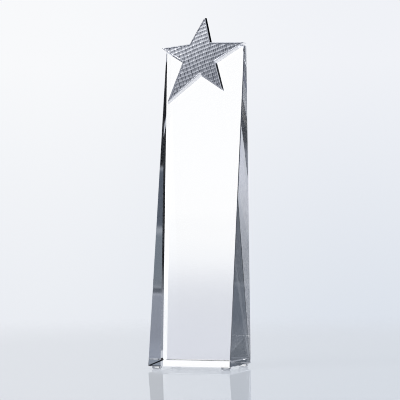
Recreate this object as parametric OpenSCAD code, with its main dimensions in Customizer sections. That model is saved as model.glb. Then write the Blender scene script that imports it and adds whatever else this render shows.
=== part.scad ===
// Star trophy: a clear crystal tower with a cast metal star bonded across its sloped front.
// Millimetres. The origin is the centre of the footprint, on the surface that the feet rest on.
// +Z is up, the sloped front faces -Y, and +X is the viewer's right.

/* [Crystal tower] */
// Width of the tower, the same from base to top
tower_w = 61; // [58:0.5:66]
// Depth of the tower at its base
tower_d = 43.5; // [38:0.5:50]
// Height of the crystal without its feet
tower_h = 226; // [200:1:250]
// Depth of the tower at its top edge
top_d = 5.8; // [5:0.2:9]
// Leg of the wide bevel down each upright edge at the back
rear_bevel = 2.5; // [1.5:0.1:3.5]
// Leg of the narrow bevel along every other edge
arris = 0.5; // [0.2:0.1:0.8]

/* [Star outline, at its back] */
// Length of the top arm, from the star's centre
arm_top = 31.2; // [28:0.2:36]
// Length of the right arm
arm_right = 36; // [32:0.2:40]
// Length of the lower right arm
arm_lower_right = 32.2; // [28:0.2:36]
// Length of the lower left arm
arm_lower_left = 41.2; // [36:0.2:44]
// Length of the left arm
arm_left = 32.8; // [30:0.2:36]
// Direction of the top arm, in degrees clockwise from straight up the slope
turn_top = 5; // [0:1:10]
// Direction of the right arm
turn_right = 75.5; // [70:0.5:80]
// Direction of the lower right arm
turn_lower_right = 143.5; // [140:0.5:148]
// Direction of the lower left arm
turn_lower_left = 216; // [212:1:220]
// Direction of the left arm
turn_left = 286.5; // [282:0.5:292]
// Distance of every notch from the star's centre
notch_r = 13.4; // [11:0.2:15]
// Radius that rounds off the point of each arm
tip_r = 0.25; // [0.15:0.05:0.5]

/* [Star body] */
// Distance of the star's centre left of the tower's middle
star_left = 2.4; // [1:0.1:5]
// Distance of the star's centre below the tower's top edge, along the slope
star_drop = 8; // [5:0.1:12]
// Thickness of the casting at its centre
star_t = 4.4; // [3.6:0.1:5.2]
// Distance that the walls lean in over the casting's thickness
wall_lean = 0.4; // [0.2:0.1:0.8]
// Radius of the gentle dome on the star's face
dome_r = 600; // [400:50:900]
// Width of the polished rim around the textured field
rim_w = 0.5; // [0.4:0.1:0.9]
// Depth of the textured field below the rim
field_depth = 0.3; // [0.2:0.1:0.6]

/* [Bond] */
// Thickness of the cured adhesive behind the star
bond_t = 0.2; // [0.1:0.05:0.4]
// Distance that the adhesive stays in from the star's outline
bond_inset = 1.2; // [0.8:0.1:2]

/* [Feet] */
// Diameter of each bumper foot
foot_d = 7; // [6:0.5:8]
// Height of each foot, with its adhesive disc
foot_h = 2.2; // [1.8:0.1:3]
// Distance of each foot's centre in from the base's edges
foot_inset = 4.7; // [4.5:0.1:7]
// Radius of the rounding on each foot's lower edge
foot_round = 1.2; // [0.8:0.1:1.4]
// Thickness of the adhesive disc on top of each foot
disc_t = 0.15; // [0.1:0.05:0.3]

/* [Hidden] */

// Angle that the sloped front leans back from the vertical
lean = atan2(tower_d - top_d, tower_h);
slope_len = norm([tower_d - top_d, tower_h]);

// Length and direction of each arm, clockwise from the top, and the direction of the notch after it
arm_len = [arm_top, arm_right, arm_lower_right, arm_lower_left, arm_left];
arm_turn = [turn_top, turn_right, turn_lower_right, turn_lower_left, turn_left];
notch_turn = [37, 109, 175, 257, 323];
tip_steps = 4;

// Allowance by which cutting tools run past the faces that they cut
past = 5;
foot_facets = 64;
dome_facets = 360;

// A point at distance r in the direction a, clockwise from straight up
function polar(r, a) = [r * sin(a), r * cos(a)];

function unit(v) = v / norm(v);

// The item before and the item after place i in a closed list
function before(list, i) = list[(i + len(list) - 1) % len(list)];
function after(list, i) = list[(i + 1) % len(list)];

// Two points in place of corner p, each a distance c from it towards its neighbours a and b
function bevel(p, a, b, c) = [p + c * unit(a - p), p + c * unit(b - p)];

// Corner p moved in from both of its edges by d; side is 1 at an arm's point and -1 at a notch
function inset(p, a, b, d, side) =
    let (u = unit(a - p), w = unit(b - p), half = acos(u * w) / 2)
    p + side * unit(u + w) * d / sin(half);

// Arc that rounds an arm's point p, from its edge towards a to its edge towards b
function tip_arc(p, a, b) =
    let (
        u = unit(a - p),
        w = unit(b - p),
        half = acos(u * w) / 2,
        centre = p + unit(u + w) * tip_r / sin(half),
        out = atan2(p.y - centre.y, p.x - centre.x),
        sweep = 90 - half
    )
    [for (k = [0 : tip_steps])
        let (a = out + sweep * (1 - 2 * k / tip_steps))
        centre + tip_r * [cos(a), sin(a)]];

// Arm points at even places and notches at odd places, clockwise from the top
star_corners = [
    for (i = [0 : len(arm_len) - 1])
        each [polar(arm_len[i], arm_turn[i]), polar(notch_r, notch_turn[i])]
];

function star_inset(d) = [
    for (i = [0 : len(star_corners) - 1])
        inset(star_corners[i], before(star_corners, i), after(star_corners, i), d,
              i % 2 == 0 ? 1 : -1)
];

// Outline moved in by d, with its arm points rounded
function star_outline(d) =
    let (corners = star_inset(d))
    [for (i = [0 : len(corners) - 1])
        each i % 2 == 0
            ? tip_arc(corners[i], before(corners, i), after(corners, i))
            : [corners[i]]];

// Side view of the tower, depth then height, from the front of the base
tower_side = [
    [-tower_d / 2, 0],
    [tower_d / 2, 0],
    [tower_d / 2, tower_h],
    [tower_d / 2 - top_d, tower_h]
];

tower_side_beveled = [
    for (i = [0 : len(tower_side) - 1])
        each bevel(tower_side[i], before(tower_side, i), after(tower_side, i), arris)
];

// Puts a shape drawn flat on the sloped front, its origin at the middle of the top edge:
// x runs to the right, y up the slope, and z out of the face.
module on_front() {
    translate([0, tower_d / 2 - top_d, foot_h + tower_h])
        rotate([90 - lean, 0, 0])
            children();
}

module on_front_at_star() {
    on_front()
        translate([-star_left, -star_drop, 0])
            children();
}

// A long square bar along z, turned so that it cuts a bevel with the given leg along an edge
module bevel_bar(leg, length) {
    rotate([0, 0, 45])
        cube([leg * sqrt(2), leg * sqrt(2), length], center = true);
}

module side_edge_cuts() {
    for (x = [-tower_w / 2, tower_w / 2]) {
        on_front()
            translate([x, -slope_len / 2, 0])
                rotate([90, 0, 0])
                    bevel_bar(arris, slope_len + 2 * past);
        translate([x, tower_d / 2, foot_h + tower_h / 2])
            bevel_bar(rear_bevel, tower_h + 2 * past);
        for (z = [foot_h, foot_h + tower_h])
            translate([x, 0, z])
                rotate([90, 0, 0])
                    bevel_bar(arris, tower_d + 2 * past);
    }
}

// Solid optical crystal: a vertical back, a sloped front, and a bevel along every edge
module crystal_tower() {
    color([0.90, 0.94, 0.98, 0.45])
        difference() {
            translate([-tower_w / 2, 0, foot_h])
                rotate([90, 0, 90])
                    linear_extrude(height = tower_w)
                        polygon(tower_side_beveled);
            side_edge_cuts();
        }
}

// The solid under a gentle dome whose top is at height t
module under_dome(t) {
    translate([0, 0, t - dome_r])
        sphere(r = dome_r, $fn = dome_facets);
}

// Five-armed block of height h, whose walls lean in as they rise
module leaning_star(h) {
    low = star_outline(0);
    high = star_outline(wall_lean * h / star_t);
    count = len(low);
    polyhedron(
        points = [
            for (p = low) [p.x, p.y, 0],
            for (p = high) [p.x, p.y, h]
        ],
        faces = [
            [for (i = [count - 1 : -1 : 0]) i],
            [for (i = [0 : count - 1]) count + i],
            for (i = [0 : count - 1])
                let (next = (i + 1) % count)
                [count + next, count + i, i, next]
        ]
    );
}

// Flat-backed casting: a domed five-armed plate whose field is sunk inside a narrow rim
module star_casting() {
    color([0.72, 0.74, 0.78])
        on_front_at_star()
            translate([0, 0, bond_t])
                difference() {
                    intersection() {
                        leaning_star(star_t + past);
                        under_dome(star_t);
                    }
                    difference() {
                        linear_extrude(height = star_t + past)
                            polygon(star_inset(wall_lean + rim_w));
                        under_dome(star_t - field_depth);
                    }
                }
}

// Film of cured adhesive between the star's back and the crystal, kept below the top edge
module star_adhesive() {
    color([0.92, 0.93, 0.90, 0.6])
        on_front_at_star()
            linear_extrude(height = bond_t)
                intersection() {
                    polygon(star_inset(bond_inset));
                    translate([-tower_w, star_drop - arris - 2 * tower_w])
                        square([2 * tower_w, 2 * tower_w]);
                }
}

// Centre of the foot on the left (-1) or right (1), at the front (-1) or rear (1)
function foot_centre(side, end) = [
    side * (tower_w / 2 - foot_inset),
    end * (tower_d / 2 - foot_inset),
    0
];

// Clear bumper: a low round pad with a rounded lower edge and a flat contact face
module foot(side, end) {
    r = foot_d / 2;
    h = foot_h - disc_t;
    color([0.85, 0.88, 0.90, 0.6])
        translate(foot_centre(side, end))
            rotate_extrude($fn = foot_facets) {
                square([r - foot_round, h]);
                translate([0, foot_round])
                    square([r, h - foot_round]);
                intersection() {
                    translate([r - foot_round, foot_round])
                        circle(r = foot_round, $fn = foot_facets);
                    square([r, h]);
                }
            }
}

// Thin disc of pressure-sensitive adhesive between a foot and the crystal's base
module foot_adhesive(side, end) {
    color([0.80, 0.82, 0.80, 0.7])
        translate(foot_centre(side, end) + [0, 0, foot_h - disc_t])
            cylinder(d = foot_d - 0.4, h = disc_t, $fn = foot_facets);
}

crystal_tower();
star_casting();
star_adhesive();
foot(-1, -1);  // foot_front_left
foot(1, -1);  // foot_front_right
foot(-1, 1);  // foot_rear_left
foot(1, 1);  // foot_rear_right
foot_adhesive(-1, -1);  // foot_adhesive_front_left
foot_adhesive(1, -1);  // foot_adhesive_front_right
foot_adhesive(-1, 1);  // foot_adhesive_rear_left
foot_adhesive(1, 1);  // foot_adhesive_rear_right
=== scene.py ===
"""Looks of the star trophy: a clear crystal tower with a dimpled chrome star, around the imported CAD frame.

Blender works in metres. Sizes of the star, the feet and the films are in millimetres, as in the CAD
source, and MM turns them into metres. The star's own coordinates lie flat on the crystal's sloped
front: x to the viewer's right, y up the slope, z out of the face.
"""

import math

import bmesh
import bpy
import numpy as np
from mathutils import Matrix, Vector
from mathutils.geometry import delaunay_2d_cdt


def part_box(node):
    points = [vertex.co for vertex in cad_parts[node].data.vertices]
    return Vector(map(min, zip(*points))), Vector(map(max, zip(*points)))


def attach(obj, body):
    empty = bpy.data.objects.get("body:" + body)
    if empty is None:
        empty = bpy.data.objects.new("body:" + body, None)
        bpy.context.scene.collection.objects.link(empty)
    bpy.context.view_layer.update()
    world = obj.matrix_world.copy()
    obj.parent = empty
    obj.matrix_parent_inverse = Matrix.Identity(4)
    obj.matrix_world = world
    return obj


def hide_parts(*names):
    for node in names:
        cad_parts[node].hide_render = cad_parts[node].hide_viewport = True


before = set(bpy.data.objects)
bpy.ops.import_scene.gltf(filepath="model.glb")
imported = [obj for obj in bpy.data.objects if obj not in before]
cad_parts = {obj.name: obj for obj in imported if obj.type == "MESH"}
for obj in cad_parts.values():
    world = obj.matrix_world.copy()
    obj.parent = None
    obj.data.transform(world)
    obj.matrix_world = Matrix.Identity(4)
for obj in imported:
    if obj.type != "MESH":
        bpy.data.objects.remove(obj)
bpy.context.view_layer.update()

MM = 0.001

# Camera: where it stands, where it looks, and its lens
CAMERA_AZIMUTH = 22.08
CAMERA_DISTANCE = 0.8923
CAMERA_HEIGHT = 0.0722
CAMERA_YAW = 22.01
CAMERA_PITCH = 2.913
CAMERA_ROLL = -0.688
LENS_MM = 113.96

# Star outline at its back, and its body, as in the CAD source
ARM_LENGTHS = (31.2, 36.0, 32.2, 41.2, 32.8)
ARM_TURNS = (5.0, 75.5, 143.5, 216.0, 286.5)
NOTCH_RADIUS = 13.4
NOTCH_TURNS = (37.0, 109.0, 175.0, 257.0, 323.0)
TIP_RADIUS = 0.25
STAR_LEFT = 2.4
STAR_DROP = 8.0
STAR_THICKNESS = 4.4
DOME_RADIUS = 600.0
FIELD_DOME_RADIUS = 350.0
BOND_THICKNESS = 0.2

# Rings round the star from its back to its field: distance in from the outline, then
# height above the back for the lower ones, and depth below the dome for the upper ones
BACK_RINGS = ((0.15, 0.0), (0.01, 0.15), (0.03, 0.35))
RIM_RINGS = ((0.37, 0.50), (0.39, 0.33), (0.43, 0.25), (0.73, 0.05), (0.79, 0.01), (0.84, 0.0))
FIELD_INSET = 0.9
TIP_STEPS = 4
EDGE_STEPS = 14

# Dimples in the star's field: a square grid, turned anticlockwise. The ridges lie below the dome, and
# a cell rises more steeply towards its sides than towards its ends.
DIMPLE_PITCH = 2.8
DIMPLE_TURN = 18.0
DIMPLE_DEPTH = 0.22
RIDGE_DEPTH = 0.10
SIDE_RISE = 1.35
END_RISE = 0.75
GRID_PER_PITCH = 12

# Unevenness of the casting: how far the rows wander and the depth varies, and how fast in radians per mm
WANDER = 0.10
WANDER_TURN = 0.31
UNEVENNESS = 0.035
UNEVEN_TURNS = (0.9, 0.7)

# Vertex attribute that marks the field, and the distance over which the dimples start at its edge
FIELD = "field"
FIELD_FADE = 0.4

# Vertices closer than this are one, in metres, and the angle above which an edge stays sharp
MERGE = 1e-7
STAR_SHARP = 50.0
FOOT_SHARP = 40.0


# ---------------------------------------------------------------- small helpers

def srgb(red, green, blue, strength=1.0):
    """Linear colour of an 8-bit screen colour."""
    linear = []
    for value in (red / 255, green / 255, blue / 255):
        low = value <= 0.04045
        linear.append(strength * (value / 12.92 if low else ((value + 0.055) / 1.055) ** 2.4))
    return (*linear, 1.0)


def add(tree, kind, inputs=None, **settings):
    """A new node. Each of its inputs gets a value, or a link from the socket that is given."""
    made = tree.nodes.new(kind)
    for name, value in settings.items():
        setattr(made, name, value)
    for key, value in (inputs or {}).items():
        if isinstance(value, bpy.types.NodeSocket):
            tree.links.new(value, made.inputs[key])
        else:
            made.inputs[key].default_value = value
    return made


def maths(tree, operation, first, second=0.0):
    """Output of a Math node."""
    return add(tree, "ShaderNodeMath", {0: first, 1: second}, operation=operation).outputs[0]


def ramp(tree, value, start, end, low=0.0, high=1.0, smooth=True):
    """Value between start and end, mapped from low to high and held outside."""
    kind = "SMOOTHSTEP" if smooth else "LINEAR"
    mapped = add(tree, "ShaderNodeMapRange",
                 {"Value": value, "From Min": start, "From Max": end, "To Min": low, "To Max": high},
                 interpolation_type=kind)
    return mapped.outputs["Result"]


def mix(tree, share, first, second):
    """Colour between first and second."""
    made = add(tree, "ShaderNodeMix", {0: share}, data_type="RGBA")
    for socket, value in ((made.inputs[6], first), (made.inputs[7], second)):
        if isinstance(value, bpy.types.NodeSocket):
            tree.links.new(value, socket)
        else:
            socket.default_value = value
    return made.outputs[2]


def new_material(name):
    """Material with an empty node tree, its Principled shader and its output."""
    made = bpy.data.materials.new(name)
    made.use_nodes = True
    tree = made.node_tree
    tree.nodes.clear()
    shader = add(tree, "ShaderNodeBsdfPrincipled")
    output = add(tree, "ShaderNodeOutputMaterial")
    tree.links.new(shader.outputs[0], output.inputs["Surface"])
    return made, tree, shader


def noise(tree, scale, detail=3.0):
    """Noise in the object's own coordinates, at that many features per metre."""
    place = add(tree, "ShaderNodeTexCoord").outputs["Object"]
    made = add(tree, "ShaderNodeTexNoise", {"Vector": place, "Scale": scale, "Detail": detail})
    return made.outputs["Fac"]


def bump(tree, shader, height, strength, distance):
    """Gives the shader a bump from height."""
    made = add(tree, "ShaderNodeBump", {"Height": height, "Strength": strength, "Distance": distance})
    tree.links.new(made.outputs[0], shader.inputs["Normal"])


def new_piece(name, mesh, material, slot, *nodes):
    """A piece that rides on the trophy and stands for the CAD nodes."""
    piece = bpy.data.objects.new(name, mesh)
    bpy.context.scene.collection.objects.link(piece)
    mesh.materials.clear()
    mesh.materials.append(material)
    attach(piece, "root")
    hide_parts(*nodes)
    return piece


# ---------------------------------------------------------------- materials

def crystal_material():
    """Polished optical crystal: clear, with the faintest waviness that polishing leaves."""
    made, tree, shader = new_material("optical_crystal")
    shader.inputs["Base Color"].default_value = (0.985, 0.99, 1.0, 1.0)
    shader.inputs["Transmission Weight"].default_value = 1.0
    shader.inputs["IOR"].default_value = 1.517
    haze = ramp(tree, noise(tree, 90.0), 0.45, 0.8, 0.0, 0.0012)
    tree.links.new(haze, shader.inputs["Roughness"])
    return made


def chrome_material():
    """Bright chrome over a casting: a polished rim and walls, a duller field, with painted shade darkening
    its hollows.
    """
    made, tree, shader = new_material("star_chrome")
    shader.inputs["Metallic"].default_value = 1.0
    in_field = add(tree, "ShaderNodeAttribute", attribute_name=FIELD).outputs["Fac"]
    # Painted shade: the field's base colour darkens in the hollows that pointiness finds.
    hollows = add(tree, "ShaderNodeNewGeometry").outputs["Pointiness"]
    painted_hollow_shade = maths(tree, "MULTIPLY", in_field, ramp(tree, hollows, 0.47, 0.52, 1.0, 0.0))
    colour = mix(tree, painted_hollow_shade, (0.91, 0.91, 0.93, 1.0), (0.66, 0.67, 0.71, 1.0))
    tree.links.new(colour, shader.inputs["Base Color"])
    unevenness = noise(tree, 900.0)
    polished = ramp(tree, unevenness, 0.3, 0.7, 0.02, 0.05)
    duller = ramp(tree, unevenness, 0.3, 0.7, 0.14, 0.21)
    rough = add(tree, "ShaderNodeMix", {0: in_field, 2: polished, 3: duller}, data_type="FLOAT")
    tree.links.new(rough.outputs[0], shader.inputs["Roughness"])
    bump(tree, shader, noise(tree, 1500.0, 2.0), 0.15, 0.00005)
    return made


def adhesive_material(name, tint):
    """Cured clear adhesive with a little haze."""
    made, tree, shader = new_material(name)
    shader.inputs["Transmission Weight"].default_value = 1.0
    shader.inputs["IOR"].default_value = 1.48
    haze = noise(tree, 1200.0)
    tree.links.new(mix(tree, haze, tint, (0.97, 0.98, 0.97, 1.0)), shader.inputs["Base Color"])
    tree.links.new(ramp(tree, haze, 0.3, 0.7, 0.05, 0.2), shader.inputs["Roughness"])
    return made


def elastomer_material():
    """Clear polyurethane bumper: soft gloss, a touch of bloom."""
    made, tree, shader = new_material("foot_elastomer")
    shader.inputs["Transmission Weight"].default_value = 0.85
    shader.inputs["IOR"].default_value = 1.49
    bloom = noise(tree, 700.0)
    tree.links.new(mix(tree, bloom, (0.86, 0.88, 0.90, 1.0), (0.97, 0.98, 0.99, 1.0)),
                   shader.inputs["Base Color"])
    tree.links.new(ramp(tree, bloom, 0.3, 0.7, 0.08, 0.22), shader.inputs["Roughness"])
    bump(tree, shader, noise(tree, 2500.0, 1.0), 0.1, 0.00003)
    return made


# ---------------------------------------------------------------- star

def polar(radius, turn):
    """Point at that distance, turned clockwise from straight up the slope."""
    angle = math.radians(turn)
    return Vector((radius * math.sin(angle), radius * math.cos(angle)))


def star_corners():
    """Arm points and notches in turn, clockwise from the top arm."""
    corners = []
    for length, turn, notch_turn in zip(ARM_LENGTHS, ARM_TURNS, NOTCH_TURNS):
        corners += [polar(length, turn), polar(NOTCH_RADIUS, notch_turn)]
    return corners


def corner_points(corner, before, after, inset, is_tip):
    """The corner moved in by inset: an arc at an arm's point, one point at a notch."""
    to_before = (before - corner).normalized()
    to_after = (after - corner).normalized()
    half = to_before.angle(to_after) / 2
    inward = (to_before + to_after).normalized()
    moved = corner + inward * inset / math.sin(half) * (1 if is_tip else -1)
    if not is_tip:
        return [moved]
    centre = moved + inward * TIP_RADIUS / math.sin(half)
    out = math.atan2(-inward.y, -inward.x)
    sweep = math.pi / 2 - half
    angles = [out + sweep * (1 - 2 * k / TIP_STEPS) for k in range(TIP_STEPS + 1)]
    return [centre + TIP_RADIUS * Vector((math.cos(a), math.sin(a))) for a in angles]


def star_ring(inset):
    """Points round the star, moved in from its outline, with each straight edge split evenly."""
    corners = star_corners()
    count = len(corners)
    groups = [
        corner_points(corners[i], corners[i - 1], corners[(i + 1) % count], inset, i % 2 == 0)
        for i in range(count)
    ]
    ring = []
    for i, group in enumerate(groups):
        ring += group
        start, end = group[-1], groups[(i + 1) % count][0]
        ring += [start.lerp(end, k / EDGE_STEPS) for k in range(1, EDGE_STEPS)]
    return ring


def dome(x, y, radius=DOME_RADIUS):
    """Height of the domed face above the crystal."""
    return BOND_THICKNESS + STAR_THICKNESS - radius + np.sqrt(radius**2 - x * x - y * y)


def edge_distance(points, ring):
    """Distance of each point from the ring, and whether it lies inside it."""
    nearest = np.full(len(points), np.inf)
    inside = np.zeros(len(points), bool)
    x, y = points[:, 0], points[:, 1]
    for k, end in enumerate(ring):
        start = ring[k - 1]
        along = end - start
        share = ((x - start.x) * along.x + (y - start.y) * along.y) / along.length_squared
        share = np.clip(share, 0, 1)
        gap = np.hypot(x - start.x - share * along.x, y - start.y - share * along.y)
        nearest = np.minimum(nearest, gap)
        if start.y != end.y:
            crosses = (start.y > y) != (end.y > y)
            inside ^= crosses & (x < start.x + (y - start.y) * along.x / along.y)
    return nearest, inside


def dimple(across, up):
    """Depth of a cell of the texture: a shallow bowl that meets its neighbours in sharp ridges."""
    across = across - np.round(across / DIMPLE_PITCH) * DIMPLE_PITCH
    up = up - np.round(up / DIMPLE_PITCH) * DIMPLE_PITCH
    corner = DIMPLE_PITCH**2 / 2
    return 1 - (SIDE_RISE * across**2 + END_RISE * up**2) / corner


def field_grid(ring):
    """Points inside the ring, in rows along the dimples, and how far each is sunk in the field."""
    turn = math.radians(DIMPLE_TURN)
    step = DIMPLE_PITCH / GRID_PER_PITCH
    reach = math.ceil(max(ARM_LENGTHS) / step)
    across, up = np.meshgrid(np.arange(-reach, reach + 1) * step, np.arange(-reach, reach + 1) * step)
    across, up = across.ravel(), up.ravel()
    sunk = DIMPLE_DEPTH * dimple(across, up)
    along = across + WANDER * np.sin(WANDER_TURN * up)
    over = up + WANDER * np.sin(WANDER_TURN * across + 1)
    sunk += UNEVENNESS * np.sin(UNEVEN_TURNS[0] * across) * np.sin(UNEVEN_TURNS[1] * up + 1)
    points = np.stack([along * math.cos(turn) - over * math.sin(turn),
                       along * math.sin(turn) + over * math.cos(turn)], axis=1)
    distance, inside = edge_distance(points, ring)
    kept = inside & (distance > step / 2)
    return points[kept], (sunk * np.clip(distance / FIELD_FADE, 0, 1))[kept]


def field_mesh():
    """Vertices and triangles of the dimpled field; the ring's own points come first."""
    ring = star_ring(FIELD_INSET)
    points, sunk = field_grid(ring)
    flat = ring + [Vector(p) for p in points]
    edges = [(k, (k + 1) % len(ring)) for k in range(len(ring))]
    made = delaunay_2d_cdt(flat, edges, [], 1, 1e-7)
    sunk = np.concatenate([np.zeros(len(ring)), sunk])
    xy = np.array([tuple(v) for v in made[0]])
    came_from = [origin[0] for origin in made[3]]
    height = dome(xy[:, 0], xy[:, 1], FIELD_DOME_RADIUS) - RIDGE_DEPTH - sunk[came_from]
    return np.column_stack([xy, height]), made[2]


def star_frame():
    """Matrix from the star's own coordinates to the trophy's."""
    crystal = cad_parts["crystal_tower"].data
    facing = [p for p in crystal.polygons if p.normal.y < -0.5 and p.normal.z > 0.05]
    front = max(facing, key=lambda p: p.area)
    normal = front.normal
    across = Vector((1, 0, 0))
    up = normal.cross(across)
    top_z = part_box("crystal_tower")[1].z
    point = front.center
    on_top_edge = point + up * ((top_z - point.z) / up.z)
    origin = Vector((0, on_top_edge.y, top_z)) - across * STAR_LEFT * MM - up * STAR_DROP * MM
    axes = Matrix((across, up, normal)).transposed().to_4x4()
    return Matrix.Translation(origin) @ axes @ Matrix.Scale(MM, 4)


def star_mesh():
    """The casting: flat back, walls that lean in, a rounded polished rim and the dimpled field."""
    rings = [[(p.x, p.y, BOND_THICKNESS + lift) for p in star_ring(inset)] for inset, lift in BACK_RINGS]
    rings += [[(p.x, p.y, dome(p.x, p.y) - drop) for p in star_ring(inset)] for inset, drop in RIM_RINGS]
    field_points, field_faces = field_mesh()
    field_ring = star_ring(FIELD_INSET)
    rings.append([(p.x, p.y, dome(p.x, p.y, FIELD_DOME_RADIUS) - RIDGE_DEPTH) for p in field_ring])
    made = bmesh.new()
    matrix = star_frame()
    rows = [[made.verts.new(matrix @ Vector(p)) for p in ring] for ring in rings]
    made.faces.new(rows[0])
    for low, high in zip(rows, rows[1:]):
        for k in range(len(low)):
            made.faces.new((low[k - 1], low[k], high[k], high[k - 1]))
    in_field = made.verts.layers.float.new(FIELD)
    field = [made.verts.new(matrix @ Vector(p)) for p in field_points]
    for vert in field:
        vert[in_field] = 1.0
    for face in field_faces:
        made.faces.new([field[k] for k in face])
    bmesh.ops.remove_doubles(made, verts=made.verts, dist=MERGE)
    bmesh.ops.recalc_face_normals(made, faces=made.faces)
    for face in made.faces:
        face.smooth = True
    mesh = bpy.data.meshes.new("star")
    made.to_mesh(mesh)
    made.free()
    mesh.set_sharp_from_angle(angle=math.radians(STAR_SHARP))
    return mesh


# ---------------------------------------------------------------- feet and films

# Bumper feet: rounding of the lower edge, taper of the side, bevel of the top edge, depth of the dish
# underneath, and where the dish bends and ends as shares of the radius
FOOT_ROUND = 1.2
FOOT_TAPER = 0.12
FOOT_TOP_EDGE = 0.08
FOOT_DISH = 0.12
DISH_BEND = 0.35
DISH_BEND_DEPTH = 0.8
DISH_END = 0.5
FOOT_STEPS = 8
LATHE_STEPS = 48

# Clearance that keeps a film off the solids on both sides of it
FILM_GAP = 0.02


def lathe(name, profile, centre):
    """Closed solid turned about an upright axis; the profile runs from the axis out and back, in mm."""
    made = bmesh.new()
    rows = []
    for radius, height in profile:
        if radius == 0:
            rows.append([made.verts.new(centre + Vector((0, 0, height)) * MM)])
            continue
        angles = [2 * math.pi * k / LATHE_STEPS for k in range(LATHE_STEPS)]
        rows.append([
            made.verts.new(centre + Vector((radius * math.cos(a), radius * math.sin(a), height)) * MM)
            for a in angles
        ])
    for low, high in zip(rows, rows[1:]):
        for k in range(LATHE_STEPS):
            corners = [low[k - 1] if len(low) > 1 else low[0], low[k % len(low)], high[k % len(high)]]
            if len(high) > 1 and len(low) > 1:
                corners.append(high[k - 1])
            elif len(high) > 1:
                corners = [low[0], high[k], high[k - 1]]
            made.faces.new(corners)
    bmesh.ops.recalc_face_normals(made, faces=made.faces)
    for face in made.faces:
        face.smooth = True
    mesh = bpy.data.meshes.new(name)
    made.to_mesh(mesh)
    made.free()
    mesh.set_sharp_from_angle(angle=math.radians(FOOT_SHARP))
    return mesh


def foot_profile(radius, height):
    """Bumper: a shallow dish underneath, a rounded lower edge, a slightly tapered side, a flat top."""
    profile = [(0, FOOT_DISH), (radius * DISH_BEND, FOOT_DISH * DISH_BEND_DEPTH), (radius * DISH_END, 0.0)]
    lower = radius - FOOT_TAPER
    for k in range(FOOT_STEPS + 1):
        angle = math.pi / 2 * k / FOOT_STEPS
        profile.append((lower - FOOT_ROUND * (1 - math.sin(angle)), FOOT_ROUND * (1 - math.cos(angle))))
    profile += [(radius, height - FOOT_TOP_EDGE), (radius - FOOT_TOP_EDGE, height), (0, height)]
    return profile


def make_foot(place, material):
    """One clear bumper foot, in the space of its CAD solid."""
    node = "foot_" + place
    low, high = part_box(node)
    centre = Vector(((low.x + high.x) / 2, (low.y + high.y) / 2, low.z))
    radius = (high.x - low.x) / 2 / MM
    height = (high.z - low.z) / MM - FILM_GAP
    mesh = lathe(node, foot_profile(radius, height), centre)
    return new_piece("bumper_" + place, mesh, material, "foot_elastomer", node)


def make_film(name, node, normal, material, slot):
    """A glue film: its CAD solid, thinned by a hair on both sides along normal."""
    made = bmesh.new()
    made.from_mesh(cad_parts[node].data)
    bmesh.ops.remove_doubles(made, verts=made.verts, dist=MERGE)
    heights = [v.co.dot(normal) for v in made.verts]
    middle = (min(heights) + max(heights)) / 2
    for vert in made.verts:
        side = -1 if vert.co.dot(normal) > middle else 1
        vert.co += normal * side * FILM_GAP * MM
    mesh = bpy.data.meshes.new(name)
    made.to_mesh(mesh)
    made.free()
    return new_piece(name, mesh, material, slot, node)


# ---------------------------------------------------------------- camera, studio and floor

def make_camera():
    """Camera at the photograph's viewing angle."""
    data = bpy.data.cameras.new("camera")
    data.lens = LENS_MM
    data.clip_start = 0.01
    camera = bpy.data.objects.new("camera", data)
    bpy.context.scene.collection.objects.link(camera)
    azimuth = math.radians(CAMERA_AZIMUTH)
    place = Vector((math.sin(azimuth), -math.cos(azimuth), 0)) * CAMERA_DISTANCE
    place.z = CAMERA_HEIGHT
    turn = Matrix.Rotation(math.radians(CAMERA_YAW), 4, "Z")
    tilt = Matrix.Rotation(math.radians(90 + CAMERA_PITCH), 4, "X")
    roll = Matrix.Rotation(math.radians(CAMERA_ROLL), 4, "Z")
    camera.matrix_world = Matrix.Translation(place) @ turn @ tilt @ roll
    bpy.context.scene.camera = camera


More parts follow.
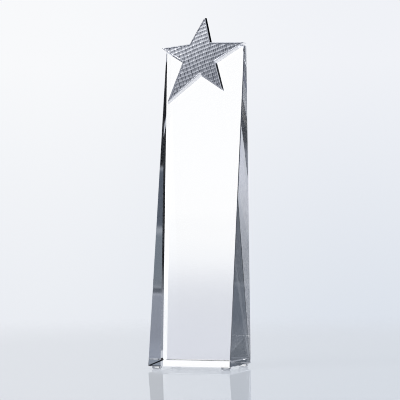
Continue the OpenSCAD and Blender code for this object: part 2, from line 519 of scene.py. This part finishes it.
# Cards and flags round the trophy. Only reflected and refracted light sees them: the camera sees the
# plain backdrop instead. Their places and tones were set so that the strips inside the crystal and
# the star's arms match the reference. Each has a name, azimuth from +Y towards +X (left, right),
# elevation (bottom, top), softness of the edges in degrees, and colour. Later ones cover earlier ones.
WHITE = (1.08, 1.08, 1.08, 1.0)
OVER_WHITE = (1.35, 1.35, 1.35, 1.0)
KEY = (3.0, 3.0, 3.0, 1.0)
BLACK = (0.001, 0.001, 0.002, 1.0)
PANELS = (
    ("overhead", -200, 200, 45, 91, 12.0, srgb(156, 160, 170)),
    ("camera side wall", -182, -112, -30, 50, 3.0, srgb(186, 190, 199)),
    ("camera side wall, high", -182, -112, 34, 56, 8.0, srgb(232, 235, 241)),
    ("camera side wall, low", -176, -112, -30, 11, 9.0, srgb(88, 92, 102)),
    ("camera side wall, corner", -180, -171, 8, 56, 4.0, srgb(96, 101, 111)),
    ("camera side wall, right", 150, 182, -30, 12, 3.0, srgb(186, 190, 199)),
    ("camera side wall, right high", 140, 181, 12, 60, 4.0, srgb(92, 97, 107)),
    ("white backdrop", -40, 7.0, -4.6, 44, 2.0, WHITE),
    ("white card on the table", 0, 7.0, -50, 0, 1.0, OVER_WHITE),
    ("table card", 7.0, 40, -75, -26, 2.0, OVER_WHITE),
    ("low dark card", -42, -30, -22, -4, 2.0, srgb(104, 108, 118)),
    ("left table", -75, -45, -40, -18, 2.0, srgb(124, 130, 150)),
    ("key softbox", -164, -112, 49, 66, 2.0, KEY),
    ("key softbox, side", -131, -112, 28, 60, 2.0, KEY),
    ("left flag", -112, -42, 17, 46, 1.5, srgb(18, 20, 24)),
    ("edge card", -54, -42, -12, 16, 1.0, srgb(64, 69, 78)),
    ("rear flag", 8.5, 40, -0.9, 7, 0.2, BLACK),
    ("rear flag above", 8.5, 40, 6.8, 12, 0.3, srgb(52, 58, 68)),
    ("rear card", 22, 28, 8.7, 10.6, 0.3, srgb(134, 142, 154)),
    ("rear flag top", 6, 44, 12, 34, 0.5, srgb(14, 16, 20)),
    ("rear floor far", 8.5, 40, -3.6, -0.9, 0.2, srgb(78, 86, 98)),
    ("rear floor middle", 8.5, 40, -6.4, -3.6, 0.4, srgb(112, 121, 131)),
    ("rear floor edge", 8.5, 40, -6.5, -6.25, 0.06, srgb(70, 78, 90)),
    ("rear floor near", 8.5, 40, -24, -6.5, 0.15, srgb(150, 156, 171)),
    ("side flag, rear", 62, 71, -6.5, 4, 0.3, BLACK),
    ("side flag, middle", 92, 97, -6.5, 4, 0.3, BLACK),
    ("side flag, front", 98.5, 121, -6.6, 5, 0.3, BLACK),
    ("side flag above", 97, 104, 20, 28, 1.0, BLACK),
    ("side floor", 98, 120, -16, -6.5, 0.3, srgb(108, 113, 126)),
    ("left front flag", -131, -118, -10, 6, 1.0, srgb(18, 20, 24)),
    ("camera side", -170, -150, -7, 9, 1.0, srgb(96, 103, 113)),
    ("camera side floor", -170, -150, -12.7, -7, 0.4, srgb(22, 27, 35)),
    ("camera side table", -170, -150, -20, -12.7, 0.6, srgb(132, 138, 150)),
    ("camera side low table", -170, -150, -36, -20, 1.0, srgb(90, 94, 107)),
    ("behind the camera", -162, -149, 9, 30, 3.0, srgb(58, 62, 71)),
)

# Between the cards: the room above the table's far edge, and the table below it
AROUND = srgb(205, 209, 217)
TABLE = srgb(220, 224, 233)
HORIZON = -4.5
TABLE_BEHIND = (-34.0, -7.0)
# The table behind the trophy: near white at its far edge, pale further down, dark close by
TABLE_TONES = ((-4.0, srgb(250, 252, 255)), (-9.0, srgb(234, 236, 246)), (-13.0, srgb(218, 222, 236)),
               (-18.0, srgb(122, 128, 142)), (-22.0, srgb(80, 86, 100)))
TABLE_EDGE_SOFT = 1.5


def inside_band(tree, value, low, high, soft):
    """1 between low and high, falling to 0 over the soft edge on each side."""
    rise = ramp(tree, value, low - soft, low + soft)
    fall = ramp(tree, value, high - soft, high + soft, 1.0, 0.0)
    return maths(tree, "MULTIPLY", rise, fall)


def backdrop_colour(tree, azimuth, elevation):
    """Plain pale backdrop: lightest high up on the left, a little greyer low down on the right."""
    low_left, low_right = srgb(228, 232, 239), srgb(212, 220, 231)
    high_left, high_right = srgb(248, 249, 251), srgb(240, 242, 247)
    sideways = inside_band(tree, azimuth, -22.0, 100.0, 8.0)
    upward = ramp(tree, elevation, -7.0, 9.0, smooth=False)
    low = mix(tree, sideways, low_left, low_right)
    high = mix(tree, sideways, high_left, high_right)
    return mix(tree, upward, low, high)


def make_world():
    """Studio surroundings: a plain backdrop to the camera, soft panels and dark areas to the glass."""
    world = bpy.data.worlds.new("studio")
    bpy.context.scene.world = world
    world.use_nodes = True
    tree = world.node_tree
    tree.nodes.clear()
    direction = add(tree, "ShaderNodeTexCoord").outputs["Generated"]
    axes = add(tree, "ShaderNodeSeparateXYZ", {0: direction}).outputs
    azimuth = maths(tree, "DEGREES", maths(tree, "ARCTAN2", axes[0], axes[1]))
    elevation = maths(tree, "DEGREES", maths(tree, "ARCSINE", axes[2]))
    studio = mix(tree, ramp(tree, elevation, HORIZON - 1, HORIZON + 1), TABLE, AROUND)
    tone, above = AROUND, TABLE_TONES[0][0] + TABLE_EDGE_SOFT
    for level, next_tone in TABLE_TONES:
        tone = mix(tree, ramp(tree, elevation, above, level), tone, next_tone)
        above = level
    behind = inside_band(tree, azimuth, *TABLE_BEHIND, 2.0)
    studio = mix(tree, behind, studio, tone)
    for _, left, right, bottom, top, soft, colour in PANELS:
        across = inside_band(tree, azimuth, left, right, soft)
        up = inside_band(tree, elevation, bottom, top, soft)
        studio = mix(tree, maths(tree, "MULTIPLY", across, up), studio, colour)
    seen_directly = add(tree, "ShaderNodeLightPath").outputs["Is Camera Ray"]
    colour = mix(tree, seen_directly, studio, backdrop_colour(tree, azimuth, elevation))
    background = add(tree, "ShaderNodeBackground", {"Color": colour, "Strength": 1.0})
    output = add(tree, "ShaderNodeOutputWorld")
    tree.links.new(background.outputs[0], output.inputs["Surface"])


# Floor, in metres: it is solid near the trophy, has faded out further away, and lies a hair below the
# feet. Then the shares of its clear reflection and of its matt board.
FLOOR_RADIUS = 1.6
FLOOR_SOLID = 0.25
FLOOR_FADED = 0.9
FLOOR_GAP = 0.00005
FLOOR_SHEEN = 0.22
FLOOR_MATT = 0.2


def floor_material():
    """Pale board with a faint clear reflection; it fades into the backdrop further out."""
    made, tree, shader = new_material("floor")
    shader.inputs["Base Color"].default_value = (0.93, 0.95, 0.98, 1.0)
    shader.inputs["Roughness"].default_value = 0.9
    shader.inputs["Specular IOR Level"].default_value = 0.0
    gloss = add(tree, "ShaderNodeBsdfGlossy", {"Color": (0.93, 0.96, 1.0, 1.0), "Roughness": 0.03})
    tinted = add(tree, "ShaderNodeBsdfTransparent", {"Color": (0.88, 0.88, 0.88, 1.0)})
    board = add(tree, "ShaderNodeMixShader",
                {0: FLOOR_MATT, 1: tinted.outputs[0], 2: shader.outputs[0]})
    sheen = add(tree, "ShaderNodeMixShader", {0: FLOOR_SHEEN, 1: board.outputs[0], 2: gloss.outputs[0]})
    place = add(tree, "ShaderNodeTexCoord").outputs["Object"]
    distance = add(tree, "ShaderNodeVectorMath", {0: place}, operation="LENGTH").outputs["Value"]
    fade = ramp(tree, distance, FLOOR_SOLID, FLOOR_FADED)
    clear = add(tree, "ShaderNodeBsdfTransparent")
    blend = add(tree, "ShaderNodeMixShader", {0: fade, 1: sheen.outputs[0], 2: clear.outputs[0]})
    output = next(n for n in tree.nodes if n.type == "OUTPUT_MATERIAL")
    tree.links.new(blend.outputs[0], output.inputs["Surface"])
    return made


def make_floor():
    """Pale floor with a soft sheen, which fades into the backdrop further out."""
    mesh = bpy.data.meshes.new("floor")
    made = bmesh.new()
    bmesh.ops.create_circle(made, cap_ends=True, segments=96, radius=FLOOR_RADIUS)
    made.to_mesh(mesh)
    made.free()
    floor = bpy.data.objects.new("floor", mesh)
    bpy.context.scene.collection.objects.link(floor)
    floor.location.z = -FLOOR_GAP
    mesh.materials.append(floor_material())


def set_light_paths():
    """Enough bounces for light that reflects many times inside the crystal."""
    scene = bpy.context.scene
    scene.cycles.max_bounces = 20
    scene.cycles.glossy_bounces = 20
    scene.cycles.transmission_bounces = 20
    scene.cycles.transparent_max_bounces = 16
    scene.cycles.filter_width = 1.0
    scene.view_settings.view_transform = "Standard"


# ---------------------------------------------------------------- the scene

make_camera()
make_world()
make_floor()
set_light_paths()

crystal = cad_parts["crystal_tower"]
crystal.data.materials.clear()
crystal.data.materials.append(crystal_material())

front_normal = star_frame().to_3x3().col[2].normalized()
new_piece("star", star_mesh(), chrome_material(), "star_chrome", "star_casting")
make_film("star_bond", "star_adhesive", front_normal,
          adhesive_material("bond_adhesive", (0.93, 0.95, 0.92, 1.0)), "bond_adhesive")

elastomer = elastomer_material()
disc_adhesive = adhesive_material("foot_adhesive", (0.86, 0.88, 0.86, 1.0))
for end in ("front", "rear"):
    for side in ("left", "right"):
        make_foot(f"{end}_{side}", elastomer)
        make_film(f"bumper_disc_{end}_{side}", f"foot_adhesive_{end}_{side}", Vector((0, 0, 1)),
                  disc_adhesive, "foot_adhesive")
